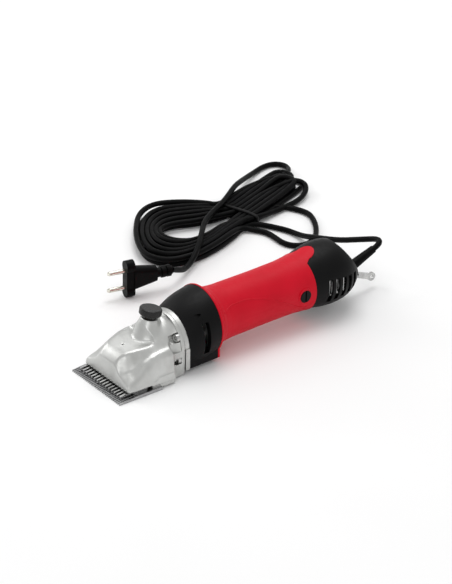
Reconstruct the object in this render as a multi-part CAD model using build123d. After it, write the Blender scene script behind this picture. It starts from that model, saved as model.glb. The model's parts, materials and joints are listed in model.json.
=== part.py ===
from build123d import *
import math
import os

# Electric sheep shears. Millimetres, +Z up, head towards -Y, lying on its comb and tail on z = 0.
# The origin is under the middle of the tool, cord left out.

# ---------------------------------------------------------------- driving dimensions
TOOL_LENGTH = 348.0          # comb tips to the tip of the hanging eye
TIP_Y = -TOOL_LENGTH / 2     # the comb's tooth tips
RUN_CLEARANCE = 0.05         # radial clearance of a running pin or bore

# The motor body is built in its own frame: x sideways, s along the motor axis from the
# head's rear flange, h up from the motor axis. The body leans 1 degree nose down.
BODY_TILT = 1.0
BODY_S0 = 84.0               # flange station behind the comb tips
BODY_AXIS_Z = 34.1           # height of the motor axis at that station
TAN_TILT = math.tan(math.radians(BODY_TILT))

COMB_WIDTH = 77.0
COMB_DEPTH = 50.0
COMB_THICK = 3.2
COMB_TEETH = 31
COMB_TOOTH_LENGTH = 21.0
CUTTER_WIDTH = 66.0
CUTTER_TEETH = 15
CUTTER_FRONT = 5.0           # tooth tips behind the comb tips
CUTTER_REAR = 36.0
CUTTER_BOTTOM = COMB_THICK + 0.2
CUTTER_THICK = 3.0

HEAD_FRONT = 12.5
HEAD_REAR = 66.0
HEAD_HALF_WIDTH = 36.5
PIVOT_STATION = 56.0         # lever pivot and tension screw, behind the comb tips
LEVER_Z = 17.5               # middle of the lever
CONE_LEAN = 10.0             # tension cone leans back
CONE_BASE_Z = 37.0
CONE_TOP_LENGTH = 19.5       # along the cone's own axis
KNOB_RADIUS = 11.0
KNOB_HEIGHT = 7.0

GEAR_MODULE = 0.8
PINION_TEETH = 8
WHEEL_TEETH = 32
GEAR_CENTRES = GEAR_MODULE * (PINION_TEETH + WHEEL_TEETH) / 2
CRANK_H = -GEAR_CENTRES      # crank axis below the motor axis
CRANK_THROW = 1.2
ROLLER_RADIUS = 3.5
ROLLER_S = -12.0

COVER_END = 38.5             # black gear cover ends, red shell begins
BRACKET_S = 35.0             # front of the motor bracket, inside the cover's mouth
GRIP_RADIUS = 27.5
FLARE_RADIUS = 35.4
SHELL_END = 161.0
WALL = 2.5
BRUSH_S = 148.0
REAR_END = 223.0
CAP_END = 230.0

CORD_DIAMETER = 6.0
HANK_HEIGHT = 12.6
BOOT_START = (0.0, 141.0, 32.2)
BOOT_RISE = 21.0             # degrees above level
BOOT_LENGTH = 31.0

PLUG_FACE = (-126.5, -48.7, 20.6)
PLUG_ANGLE = 78.0            # direction from the pins to the cord, degrees from +X
PLUG_BODY_LENGTH = 34.0
PLUG_NECK_LENGTH = 18.0
PIN_RADIUS = 2.4
PIN_LENGTH = 19.0
PIN_SPACING = 19.0
PLUG_LOBE = 6.7              # radius of each lobe of the face
PLUG_LOBE_H = 13.6           # lobe centres above and below the middle


# ---------------------------------------------------------------- helpers
def block(x0, x1, y0, y1, z0, z1):
    """Box between two corners."""
    size = Box(x1 - x0, y1 - y0, z1 - z0)
    return Pos((x0 + x1) / 2, (y0 + y1) / 2, (z0 + z1) / 2) * size


def rod_y(radius, y0, y1, x=0.0, z=0.0):
    """Cylinder along Y."""
    return Pos(x, (y0 + y1) / 2, z) * Rot(-90, 0, 0) * Cylinder(radius, y1 - y0)


def ring_y(outer, inner, y0, y1, x=0.0, z=0.0):
    """Tube along Y."""
    return rod_y(outer, y0, y1, x, z) - rod_y(inner, y0 - 1, y1 + 1, x, z)


def rod_x(radius, x0, x1, y, z):
    """Cylinder along X."""
    return Pos((x0 + x1) / 2, y, z) * Rot(0, 90, 0) * Cylinder(radius, x1 - x0)


def rod_z(radius, z0, z1, x, y):
    """Cylinder along Z."""
    return Pos(x, y, (z0 + z1) / 2) * Cylinder(radius, z1 - z0)


def turned(profile):
    """Solid of revolution about the Y axis from (radius, station) points."""
    return revolve(make_face(Polyline(*profile, close=True)), axis=Axis.Y)


def prism_y(points, y0, y1):
    """Closed (x, z) outline extruded along Y."""
    plane = Plane(origin=(0, y0, 0), x_dir=(1, 0, 0), z_dir=(0, -1, 0))
    return extrude(plane * make_face(Polyline(*points, close=True)), -(y1 - y0))


def station(y):
    """World Y of a station measured back from the comb tips."""
    return TIP_Y + y


BODY_FRAME = Location((0, station(BODY_S0), BODY_AXIS_Z), (BODY_TILT, 0, 0))


def body(shape):
    """Places a shape made in the motor body's frame."""
    return BODY_FRAME * shape


def group(shapes):
    """Several separate solids under one node."""
    solids = []
    for shape in shapes:
        solids.extend(shape.solids())
    return Compound(children=solids)


PARTS = {}


def keep(name, shape):
    """Registers a finished sub-part, as one solid or as a group of solids."""
    solids = shape.solids()
    PARTS[name] = solids[0] if len(solids) == 1 else Compound(children=list(solids))


# ---------------------------------------------------------------- comb and cutter
def toothed_plate(width, front, rear, tooth_length, teeth, gap_share, z0, thick, tip_thick):
    """Flat blade whose front edge is cut into tapering teeth."""
    side = [(front, z0), (rear, z0), (rear, z0 + thick), (front + tooth_length, z0 + thick),
            (front, z0 + tip_thick)]
    plane = Plane(origin=(-width / 2, 0, 0), x_dir=(0, 1, 0), z_dir=(1, 0, 0))
    blade = extrude(plane * make_face(Polyline(*side, close=True)), width)
    pitch = width / (teeth - gap_share)
    gap = pitch * gap_share
    slots = []
    for index in range(teeth - 1):
        x = -width / 2 + (index + 1) * pitch - gap / 2
        outline = [(x - gap * 0.75, front - 1), (x + gap * 0.75, front - 1),
                   (x + gap / 2, front + tooth_length - gap), (x, front + tooth_length),
                   (x - gap / 2, front + tooth_length - gap)]
        slots.append(Pos(0, 0, z0 - 1) * extrude(make_face(Polyline(*outline, close=True)), thick + 2))
    return blade - slots


COMB_SCREW_X = 15.0
COMB_SCREW_STATION = 44.0


def make_comb():
    comb = toothed_plate(COMB_WIDTH, station(0), station(COMB_DEPTH), COMB_TOOTH_LENGTH, COMB_TEETH,
                         0.42, 0.0, COMB_THICK, 1.4)
    rear_relief = Pos(0, station(COMB_DEPTH + 2), COMB_THICK / 2) * Cylinder(9, COMB_THICK + 2)
    comb -= rear_relief
    for x in (-COMB_SCREW_X, COMB_SCREW_X):
        y = station(COMB_SCREW_STATION)
        comb -= rod_z(3.2, -1, COMB_THICK + 1, x, y)
        comb -= rod_z(5.6, -1, 2.0, x, y)
    keep("comb", comb)


def make_cutter():
    top = CUTTER_BOTTOM + CUTTER_THICK
    cutter = toothed_plate(CUTTER_WIDTH, station(CUTTER_FRONT), station(CUTTER_REAR), 15.0, CUTTER_TEETH,
                           0.45, CUTTER_BOTTOM, CUTTER_THICK, 1.6)
    cutter += block(-20, 20, station(22), station(34), top - 0.5, top + 2.6)
    for x in (-LEVER_PIN_X, LEVER_PIN_X):
        cutter -= rod_z(2.5, CUTTER_BOTTOM + 1.0, top + 4, x, station(LEVER_PIN_STATION))
    keep("cutter", cutter)


LEVER_PIN_X = 12.0
LEVER_PIN_STATION = 28.0


def make_comb_screws():
    screws = []
    for x in (-COMB_SCREW_X, COMB_SCREW_X):
        y = station(COMB_SCREW_STATION)
        screw = rod_z(5.2, 0.2, 1.9, x, y) + rod_z(2.5, 1.5, 9.0, x, y)
        slot = block(x - 0.7, x + 0.7, y - 6, y + 6, 0.1, 0.9)
        screws.append(screw - slot)
    keep("comb_screws", group(screws))


# ---------------------------------------------------------------- head casting
def head_section(y, base_z, half, side, shoulder, crest):
    """Cross-section of the head: side wall, shoulder and crest, the same on both sides."""
    right = [(half, base_z), (half, side), shoulder, crest]
    left = [(-x, z) for x, z in reversed(right)]
    plane = Plane(origin=(0, station(y), 0), x_dir=(1, 0, 0), z_dir=(0, -1, 0))
    return plane * make_face(Polyline(*(right + left), close=True))


def cone_axis():
    """Location at the foot of the tension cone, z along the cone's own axis."""
    return Location((0, station(PIVOT_STATION + 2.7), CONE_BASE_Z), (-CONE_LEAN, 0, 0))


HEAD_SCREWS = [(26.0, 17.5), (-26.0, 17.5), (23.5, 40.0), (-23.5, 40.0)]
FLANGE_Z = 26.0
FLANGE_RADIUS = 30.0


def make_head_casting():
    outer = loft([
        head_section(HEAD_FRONT, 6.8, HEAD_HALF_WIDTH - 1, 14, (24, 15.5), (11, 20)),
        head_section(19, 6.8, HEAD_HALF_WIDTH, 18, (26, 21), (13, 31)),
        head_section(28, 6.8, HEAD_HALF_WIDTH, 20, (28, 26), (17, 37.5)),
        head_section(45, 6.8, HEAD_HALF_WIDTH, 21, (31, 33), (19, 38.5)),
        head_section(HEAD_REAR, 6.8, HEAD_HALF_WIDTH - 1, 24, (32.5, 35.5), (19, 38.5)),
    ], ruled=True)
    side_foot = 3.4
    for sign in (-1, 1):
        inner_x = sign * (HEAD_HALF_WIDTH - 4)
        outer_x = sign * (HEAD_HALF_WIDTH - 1)
        outer += block(min(inner_x, outer_x), max(inner_x, outer_x),
                       station(42), station(HEAD_REAR), side_foot, 10)
    floor = block(-35.5, 35.5, station(COMB_DEPTH + 0.6), station(HEAD_REAR), 1.0, 7.5)
    comb_seat = block(-33.5, 33.5, station(38.5), station(COMB_DEPTH + 1.6), side_foot, 8.2)
    neck = rod_y(23, station(60), station(80), 0, 25)
    neck += block(-30, 30, station(64), station(72), 1.0, 30)
    flange = rod_y(FLANGE_RADIUS, station(78.5), station(82.0), 0, FLANGE_Z)
    flange += block(-29, 29, station(78.5), station(82.0), 1.0, 22)
    rear = (neck + flange) - block(-60, 60, station(50), station(90), -20, 1.0)

    cavity = loft([
        head_section(HEAD_FRONT + 3.2, 5.0, 32.0, 11, (21, 12.5), (8, 15.5)),
        head_section(20, 5.0, 32.5, 15, (23, 18), (10, 26)),
        head_section(29, 5.0, 33.0, 17, (25, 22.5), (14, 33)),
        head_section(45, 5.0, 33.0, 18, (28, 29), (16, 34.5)),
        head_section(HEAD_REAR - 3.5, 5.0, 32.5, 20, (29, 31.5), (16, 34.5)),
    ], ruled=True)
    cavity -= block(-40, 40, station(37), station(HEAD_REAR), 0, 8.2)
    cavity += block(-17, 17, station(58), station(86), 8.2, 31)
    head = outer + floor + comb_seat + rear - cavity
    head -= block(-40, 40, station(10), station(38.5), 0, 6.9)

    head -= rod_y(13.0, station(78), station(83), 0, BODY_AXIS_Z + CRANK_H)
    foot = cone_axis()
    cone = foot * (Pos(0, 0, CONE_TOP_LENGTH / 2 - 2) * Cone(13.0, 8.2, CONE_TOP_LENGTH + 4))
    head += cone
    head -= foot * (Pos(0, 0, 5) * Cylinder(5.0, 40))
    for x, z in HEAD_SCREWS:
        head -= rod_y(2.1, station(70), station(84), x, z)
        head -= rod_y(4.2, station(66.5), station(78.6), x, z)
    oil_hole = Pos(0, station(31), 36) * Cylinder(1.0, 12)
    head -= oil_hole
    for x in (-COMB_SCREW_X, COMB_SCREW_X):
        head -= rod_z(2.55, 3, 9.1, x, station(COMB_SCREW_STATION))
    head -= rod_z(3.0, 0, 8.3, 0, station(PIVOT_STATION))
    keep("head_casting", head)


def make_head_screws():
    screws = []
    for x, z in HEAD_SCREWS:
        head = rod_y(3.9, station(75.0), station(78.4), x, z)
        shank = rod_y(2.0, station(78.0), station(92), x, z)
        socket = rod_y(1.7, station(74), station(76.8), x, z)
        screws.append(head + shank - socket)
    keep("head_screws", group(screws))


# ---------------------------------------------------------------- lever and tension screw
def make_lever():
    y0 = station(PIVOT_STATION)
    low = LEVER_Z - 3
    high = LEVER_Z + 3
    lever = rod_z(8.0, low - 3.5, high, 0, y0)
    arm = [(-7, y0), (-LEVER_PIN_X - 3.5, station(LEVER_PIN_STATION)),
           (-LEVER_PIN_X + 3.5, station(LEVER_PIN_STATION) - 1), (0, station(44)),
           (LEVER_PIN_X - 3.5, station(LEVER_PIN_STATION) - 1),
           (LEVER_PIN_X + 3.5, station(LEVER_PIN_STATION)), (7, y0)]
    lever += Pos(0, 0, low) * extrude(make_face(Polyline(*arm, close=True)), high - low)
    for x in (-LEVER_PIN_X, LEVER_PIN_X):
        lever += rod_z(4.2, low, high, x, station(LEVER_PIN_STATION))
        lever -= rod_z(2.0, low - 1, high - 1.5, x, station(LEVER_PIN_STATION))
    gap = ROLLER_RADIUS + CRANK_THROW + 2.1
    prong_end = station(75.3)
    lever += block(-gap - 3.2, gap + 3.2, y0 + 4, station(65.5), low - 0.5, high + 0.5)
    for sign in (-1, 1):
        x0, x1 = sorted((sign * gap, sign * (gap + 3.2)))
        lever += block(x0, x1, station(64), prong_end, low - 0.5, high + 0.5)
    lever -= rod_z(3.5 + RUN_CLEARANCE, low - 5, high - 2.5, 0, y0)
    lever -= Pos(0, y0, high + 1.2) * Sphere(3.6)
    keep("drive_lever", lever)

    pins = []
    for x in (-LEVER_PIN_X, LEVER_PIN_X):
        y = station(LEVER_PIN_STATION)
        pins.append(rod_z(1.98, CUTTER_BOTTOM + 1.4, high - 1.6, x, y) + rod_z(2.3, low - 4.5, low - 0.1, x, y))
    keep("lever_pins", group(pins))

    post = rod_z(2.98, 1.2, 8.4, 0, y0) + rod_z(5.5, 8.2, low - 3.8, 0, y0) + rod_z(3.5, 8.3, high - 3.2, 0, y0)
    keep("pivot_post", post)


def make_tension():
    foot = cone_axis()
    ball_depth = (CONE_BASE_Z - LEVER_Z - 4.2) / math.cos(math.radians(CONE_LEAN))
    pin = Pos(0, 0, (20.4 - ball_depth) / 2) * Cylinder(2.4, 20.4 + ball_depth)
    pin += Pos(0, 0, -ball_depth) * Sphere(3.25)
    pin += Pos(0, 0, 23.5) * Cylinder(1.9, 8)
    keep("tension_pin", foot * pin)
    collar = Pos(0, 0, -3.2) * (Cylinder(4.4, 2.0) - Cylinder(2.4 + RUN_CLEARANCE, 4))
    keep("tension_collar", foot * collar)

    turns = 5
    helix = Helix(pitch=2.6, height=2.6 * turns, radius=3.5)
    start = Plane(helix @ 0, z_dir=helix % 0)
    spring = sweep(start * Circle(0.55), path=helix, is_frenet=True)
    keep("tension_spring", foot * (Pos(0, 0, -1.2) * spring))

    nut = Pos(0, 0, 14.9) * Cylinder(4.9, 4.0) - Pos(0, 0, 14.9) * Cylinder(2.4 + RUN_CLEARANCE, 6)
    keep("cone_bush", foot * nut)

    knob = Pos(0, 0, KNOB_HEIGHT / 2) * Cylinder(KNOB_RADIUS, KNOB_HEIGHT)
    edges = knob.edges().filter_by(GeomType.CIRCLE)
    knob = fillet(edges, 1.6)
    flutes = []
    flute_count = 28
    for index in range(flute_count):
        angle = math.radians(360 / flute_count * index)
        flutes.append(Pos((KNOB_RADIUS + 0.35) * math.cos(angle), (KNOB_RADIUS + 0.35) * math.sin(angle),
                          KNOB_HEIGHT / 2) * Cylinder(0.75, KNOB_HEIGHT + 1))
    knob -= flutes
    knob += Pos(0, 0, -1.0) * Cylinder(6.5, 2.2)
    knob -= Pos(0, 0, 1.5) * Cylinder(1.92, 8.1)
    keep("tension_knob", foot * (Pos(0, 0, CONE_TOP_LENGTH + 3.3) * knob))


# ---------------------------------------------------------------- gears and crank
def spur(teeth, thickness, bore, first_angle):
    """Straight-cut wheel about the Y axis with slim trapezoid teeth."""
    pitch_r = GEAR_MODULE * teeth / 2
    root = pitch_r - 1.2 * GEAR_MODULE
    tip = pitch_r + 0.8 * GEAR_MODULE
    step = 2 * math.pi / teeth
    points = []
    for index in range(teeth):
        middle = first_angle + index * step
        for radius, share in ((root, -0.27), (tip, -0.12), (tip, 0.12), (root, 0.27)):
            angle = middle + share * step
            points.append((radius * math.cos(angle), radius * math.sin(angle)))
    return prism_y(points, 0, thickness) - rod_y(bore, -1, thickness + 1)


def make_gears():
    pinion = spur(PINION_TEETH, 11.0, 1.5, -math.pi / 2)
    keep("pinion", body(Pos(0, 11.5, 0) * pinion))
    wheel = spur(WHEEL_TEETH, 8.0, 4.0, math.pi / 2 + math.pi / WHEEL_TEETH)
    wheel += ring_y(7.0, 4.0, 8, 12)
    for index in range(6):
        angle = math.radians(60 * index)
        wheel -= rod_y(2.1, -1, 9, 9.0 * math.cos(angle), 9.0 * math.sin(angle))
    keep("drive_wheel", body(Pos(0, 12.5, CRANK_H) * wheel))

    shaft = rod_y(3.98, -4.6, 34.5) + rod_y(6.0, -7.6, -4.4) + rod_y(2.0, -16.5, -7, 0, CRANK_THROW)
    keep("crank_shaft", body(Pos(0, 0, CRANK_H) * shaft))
    roller = ring_y(ROLLER_RADIUS, 2.0 + RUN_CLEARANCE, -15.6, -8.2, 0, CRANK_THROW)
    keep("crank_roller", body(Pos(0, 0, CRANK_H) * roller))


def ball_race(width, outer, inner, ball_radius, count):
    """Outer ring, inner ring and balls of a bearing about Y, from y = 0 to width."""
    middle = (outer + inner) / 2
    groove = turned([(middle - ball_radius - 0.05, width / 2 - ball_radius * 0.8),
                     (middle + ball_radius + 0.05, width / 2 - ball_radius * 0.8),
                     (middle + ball_radius + 0.05, width / 2 + ball_radius * 0.8),
                     (middle - ball_radius - 0.05, width / 2 + ball_radius * 0.8)])
    outer_ring = ring_y(outer, middle + ball_radius * 0.6, 0, width) - groove
    inner_ring = ring_y(middle - ball_radius * 0.6, inner, 0, width) - groove
    balls = []
    for index in range(count):
        angle = 2 * math.pi * index / count
        balls.append(Pos(middle * math.cos(angle), width / 2, middle * math.sin(angle)) * Sphere(ball_radius))
    return outer_ring, inner_ring, balls


def make_bearings():
    crank_outer = []
    crank_inner = []
    motor_outer = []
    motor_inner = []
    balls = []
    seats = (
        (-3.2, CRANK_H, 6.0, 9.5, 4.0, 1.6, 7, crank_outer, crank_inner),
        (28.0, CRANK_H, 6.0, 8.0, 4.0, 1.2, 7, crank_outer, crank_inner),
        (38.5, 0.0, 7.0, 11.0, 4.0, 2.0, 7, motor_outer, motor_inner),
        (166.0, 0.0, 6.0, 9.5, 4.0, 1.6, 7, motor_outer, motor_inner),
    )
    for s, h, width, outer, inner, ball_radius, count, outer_list, inner_list in seats:
        outer_ring, inner_ring, ring_balls = ball_race(width, outer, inner, ball_radius, count)
        outer_list.append(body(Pos(0, s, h) * outer_ring))
        inner_list.append(body(Pos(0, s, h) * inner_ring))
        for ball in ring_balls:
            balls.append(body(Pos(0, s, h) * ball))
    keep("bearing_outer_rings", group(crank_outer + motor_outer))
    keep("crank_inner_rings", group(crank_inner))
    keep("motor_inner_rings", group(motor_inner))
    keep("bearing_balls", group(balls))


# ---------------------------------------------------------------- gear case
COVER_PROFILE = [            # station and radius of the domed outer wall
    (3.6, 30.5), (10.0, 32.6), (18.0, 34.4), (28.0, 35.2), (COVER_END, FLARE_RADIUS - 0.4),
]

GRIP_MARK_S = 17.0           # shallow oval recess above each side slot of the cover
GRIP_MARK_ANGLE = math.radians(49)
GRIP_MARK_RADIUS = 33.4      # of the recess's floor, about the cover's middle at that station
GRIP_MARK_H = -5.0


def cover_circle(s, radius, centre_h):
    """Round section of the gear cover."""
    plane = Plane(origin=(0, s, 0), x_dir=(1, 0, 0), z_dir=(0, -1, 0))
    return plane * (Pos(0, centre_h) * Circle(radius))


def cover_foot(s):
    """Section of the cover's foot, with its lower corners cut off."""
    plane = Plane(origin=(0, s, 0), x_dir=(1, 0, 0), z_dir=(0, -1, 0))
    points = [(-29.0, -10.0), (-29.0, -29.6), (-20.0, -33.4), (20.0, -33.4), (29.0, -29.6), (29.0, -10.0)]
    return plane * make_face(Polyline(*points, close=True))


def make_gear_case():
    flange_h = FLANGE_Z - BODY_AXIS_Z
    plate = rod_y(FLANGE_RADIUS, -1.4, 3.4, 0, flange_h)
    plate += block(-31.0, 31.0, -1.4, 3.4, -28.5, -6)
    plate -= block(-60, 60, -5, 8, -60, -32.6)
    plate += rod_y(12.5, -4.0, 3.4, 0, CRANK_H)
    plate -= rod_y(9.5, -3.3, 3.5, 0, CRANK_H)
    plate -= rod_y(7.5, -5, 3.5, 0, CRANK_H)
    for x, z in HEAD_SCREWS:
        plate -= rod_y(2.1, -5, 5, x, z - BODY_AXIS_Z)
    keep("bearing_plate", body(plate))

    outer_circles = []
    for s, radius in COVER_PROFILE:
        share = (s - COVER_PROFILE[0][0]) / (COVER_END - COVER_PROFILE[0][0])
        outer_circles.append(cover_circle(s, radius, flange_h * (1 - share)))
    cover = loft(outer_circles) + loft([cover_foot(COVER_PROFILE[0][0]), cover_foot(COVER_END)], ruled=True)
    cover -= block(-60, 60, 0, 60, -60, -33.5)
    hollow = loft([cover_circle(6.5, 27.4, flange_h), cover_circle(COVER_END + 0.1, 31.6, 0.0)], ruled=True)
    hollow += block(-24.0, 24.0, 6.5, COVER_END + 0.1, -30.8, -10)
    hollow += rod_y(15.8, 3.0, 30, 0, CRANK_H)
    hollow += rod_y(31.6, BRACKET_S - 0.2, COVER_END + 0.1)
    cover -= hollow
    for x, z in HEAD_SCREWS:
        boss = rod_y(4.2, 3.6, 12.0, x * 0.98, z - BODY_AXIS_Z)
        cover += boss
        cover -= rod_y(2.02, 3.0, 11.0, x, z - BODY_AXIS_Z)
    for sign in (-1, 1):
        x0, x1 = sorted((sign * 20, sign * 40))
        cover -= block(x0, x1, 19.0, 25.5, -17, 15)
        outward = Vector(sign * math.cos(GRIP_MARK_ANGLE), 0, math.sin(GRIP_MARK_ANGLE))
        floor_point = outward * GRIP_MARK_RADIUS + Vector(0, GRIP_MARK_S, GRIP_MARK_H)
        mark = Plane(origin=floor_point, x_dir=(0, 1, 0), z_dir=outward) * Ellipse(4.5, 1.7)
        cover -= extrude(mark, 4.0, dir=outward)
    keep("gear_cover", body(cover))

    bracket = rod_y(31.2, BRACKET_S + 0.3, BRACKET_S + 3.6) + rod_y(14.0, BRACKET_S + 0.3, 46.0)
    bracket += rod_y(10.5, 27.8, BRACKET_S + 1, 0, CRANK_H)
    bracket -= rod_y(11.0, 38.5, 47.0)
    bracket -= rod_y(7.2, 30, 50)
    bracket -= rod_y(8.0, 27.0, 34.0, 0, CRANK_H)
    bracket -= rod_y(5.9, 26.0, 36.0, 0, CRANK_H)
    for index in range(6):
        angle = math.radians(60 * index)
        bracket -= rod_y(4.2, 34, 40, 21.5 * math.cos(angle), 21.5 * math.sin(angle))
    keep("motor_bracket", body(bracket))


# ---------------------------------------------------------------- motor
ARMATURE_START = 72.0
ARMATURE_END = 110.0
CORE_RADIUS = 14.2


def sector(outer, inner, half_angle, s0, s1, middle_angle):
    """Part of a tube about Y, centred on an angle from +X towards +Z."""
    points = [(0, 0)]
    reach = outer * 2.2
    steps = 4
    for index in range(steps + 1):
        angle = math.radians(middle_angle - half_angle + 2 * half_angle * index / steps)
        points.append((reach * math.cos(angle), reach * math.sin(angle)))
    return ring_y(outer, inner, s0, s1) & prism_y(points, s0, s1)


def make_motor():
    shaft = turned([(0, 11), (1.48, 11), (1.48, 24.5), (3.0, 24.5), (3.0, 37), (3.98, 37), (3.98, 174), (0, 174)])
    keep("armature_shaft", body(shaft))

    core = ring_y(CORE_RADIUS, 4.0, ARMATURE_START, ARMATURE_END)
    slot_count = 12
    for index in range(slot_count):
        angle = 2 * math.pi * index / slot_count
        core -= rod_y(1.9, ARMATURE_START - 1, ARMATURE_END + 1, 10.5 * math.cos(angle), 10.5 * math.sin(angle))
        core -= rod_y(0.7, ARMATURE_START - 1, ARMATURE_END + 1, 13.6 * math.cos(angle), 13.6 * math.sin(angle))
    keep("armature_core", body(core))

    front_coil = turned([(4.0, 64), (9.5, 64), (12.8, 67), (12.8, 71.9), (4.0, 71.9)])
    rear_coil = turned([(4.0, 110.1), (12.8, 110.1), (12.8, 117), (9.5, 121), (4.0, 121)])
    keep("armature_windings", body(group([front_coil, rear_coil])))

    commutator = ring_y(9.0, 4.0, 139, 157) + ring_y(10.0, 4.0, 136, 139.5)
    segment_count = 24
    for index in range(segment_count):
        angle = 2 * math.pi * index / segment_count
        commutator -= rod_y(0.22, 140, 158, 9.0 * math.cos(angle), 9.0 * math.sin(angle))
    keep("commutator", body(commutator))

    fan = ring_y(7.0, 4.0, 50, 60) + ring_y(21.5, 4.0, 50, 51.6)
    blade_count = 11
    blade = Pos(14.2, 55.6, 0) * Box(14.0, 8.4, 1.1)
    for index in range(blade_count):
        fan += Rot(0, 360 / blade_count * index, 0) * blade
    keep("cooling_fan", body(fan))

    yoke = ring_y(24.2, 20.6, ARMATURE_START - 2, ARMATURE_END + 2)
    for pole_angle in (90, 270):
        yoke += sector(20.9, CORE_RADIUS + 0.7, 50, ARMATURE_START - 2, ARMATURE_END + 2, pole_angle)
    keep("stator_core", body(yoke))

    coils = []
    for pole_angle in (90, 270):
        frame = sector(20.2, 16.2, 74, ARMATURE_START - 8, ARMATURE_END + 8, pole_angle)
        frame -= sector(21.5, 13.5, 51, ARMATURE_START - 3, ARMATURE_END + 3, pole_angle)
        coils.append(frame)
    keep("field_coils", body(group(coils)))


def make_brush_gear():
    holders = []
    brushes = []
    springs = []
    caps = []
    for sign in (-1, 1):
        def side(shape):
            return body(mirror(shape, about=Plane.YZ)) if sign < 0 else body(shape)
        holder = block(10.2, 23.5, BRUSH_S - 4.4, BRUSH_S + 4.4, -3.4, 3.4)
        holder -= block(9, 25, BRUSH_S - 3.2, BRUSH_S + 3.2, -2.3, 2.3)
        holders.append(side(holder))
        brush = block(9.1, 18.5, BRUSH_S - 3.15, BRUSH_S + 3.15, -2.25, 2.25)
        brushes.append(side(brush))
        helix = Helix(pitch=1.3, height=5.2, radius=1.6)
        start = Plane(helix @ 0, z_dir=helix % 0)
        spring = sweep(start * Circle(0.25), path=helix, is_frenet=True)
        springs.append(side(Pos(18.9, BRUSH_S, 0) * Rot(0, 90, 0) * spring))
        cap = rod_x(6.4, 25.2, 28.6, BRUSH_S, 0) + rod_x(3.0, 24.6, 25.4, BRUSH_S, 0)
        cap -= block(27.4, 30, BRUSH_S - 0.8, BRUSH_S + 0.8, -8, 8)
        caps.append(side(cap))
    keep("brush_holders", group(holders))
    keep("carbon_brushes", group(brushes))
    keep("brush_springs", group(springs))
    keep("brush_caps", group(caps))

    frame = ring_y(24.4, 21.5, BRUSH_S - 8, BRUSH_S + 8)
    for sign in (-1, 1):
        hole = block(min(sign * 15, sign * 26), max(sign * 15, sign * 26),
                     BRUSH_S - 4.45, BRUSH_S + 4.45, -3.45, 3.45)
        frame -= hole
    keep("brush_frame", body(frame))


# ---------------------------------------------------------------- outer casings
REAR_SECTIONS = [            # station, radius, rise of the centre above the motor axis
    (SHELL_END - 5, 27.9, 0.0), (SHELL_END + 2, 28.7, 0.2), (171, 30.6, 0.6), (180, 32.3, 1.0),
    (190, 33.0, 1.2), (198, 32.6, 1.2), (206, 30.9, 0.9), (213, 27.8, 0.5), (219, 23.5, 0.2),
    (REAR_END, 19.6, 0.0),
]


VENT_COUNT = 5
VENT_FIRST_S = 178.0
VENT_STEP = 8.2
CAP_SCREWS = [(11.8, -10.6), (-11.8, -10.6)]
CAP_INLET_H = -6.3
BRIDGE_S = 164.0


def rear_bulb(grow, first=0):
    """Bulb of the rear housing through its round sections, larger or smaller by the given amount."""
    faces = []
    for s, radius, rise in REAR_SECTIONS[first:]:
        plane = Plane(origin=(0, s, rise), x_dir=(1, 0, 0), z_dir=(0, -1, 0))
        faces.append(plane * Circle(radius + grow))
    return loft(faces)


SLANT_TOP = (202.5, 34.0)    # station and height where the sloping switch face leaves the top
SLANT_FOOT = (222.0, 1.0)


def slant_cut(offset):
    """Everything behind and above the sloping switch face, moved by an offset along its normal."""
    run = SLANT_FOOT[0] - SLANT_TOP[0]
    fall = SLANT_TOP[1] - SLANT_FOOT[1]
    length = math.hypot(run, fall)
    out_s, out_h = fall / length, run / length
    along_s, along_h = run / length, -fall / length
    start = (SLANT_TOP[0] + out_s * offset - along_s * 40, SLANT_TOP[1] + out_h * offset - along_h * 40)
    end = (SLANT_FOOT[0] + out_s * offset + along_s * 10, SLANT_FOOT[1] + out_h * offset + along_h * 10)
    outline = [start, end, (end[0] + out_s * 60, end[1] + out_h * 60),
               (start[0] + out_s * 60, start[1] + out_h * 60)]
    plane = Plane(origin=(-60, 0, 0), x_dir=(0, 1, 0), z_dir=(1, 0, 0))
    return extrude(plane * make_face(Polyline(*outline, close=True)), 120)


def slant_place():
    """Location at the middle of the sloping switch face, z out of it."""
    run = SLANT_FOOT[0] - SLANT_TOP[0]
    fall = SLANT_TOP[1] - SLANT_FOOT[1]
    lean = math.degrees(math.atan2(fall, run))
    middle_s = (SLANT_TOP[0] + SLANT_FOOT[0]) / 2
    middle_h = (SLANT_TOP[1] + SLANT_FOOT[1]) / 2
    return Location((0, middle_s, middle_h), (-lean, 0, 0))


TONGUE_HALF = 9.8
TONGUE_TIP = SHELL_END + 16.5


def tongue_outline():
    """Tongue of the red shell over the rear housing, seen from above: straight sides and a round tip."""
    root = make_face(Polyline((-18, SHELL_END - 8), (-TONGUE_HALF, SHELL_END + 5), (TONGUE_HALF, SHELL_END + 5),
                              (18, SHELL_END - 8), close=True))
    tip_s = TONGUE_TIP - TONGUE_HALF
    straight = Pos(0, (SHELL_END + tip_s) / 2) * Rectangle(2 * TONGUE_HALF, tip_s - SHELL_END)
    return root + straight + Pos(0, tip_s) * Circle(TONGUE_HALF)


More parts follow.
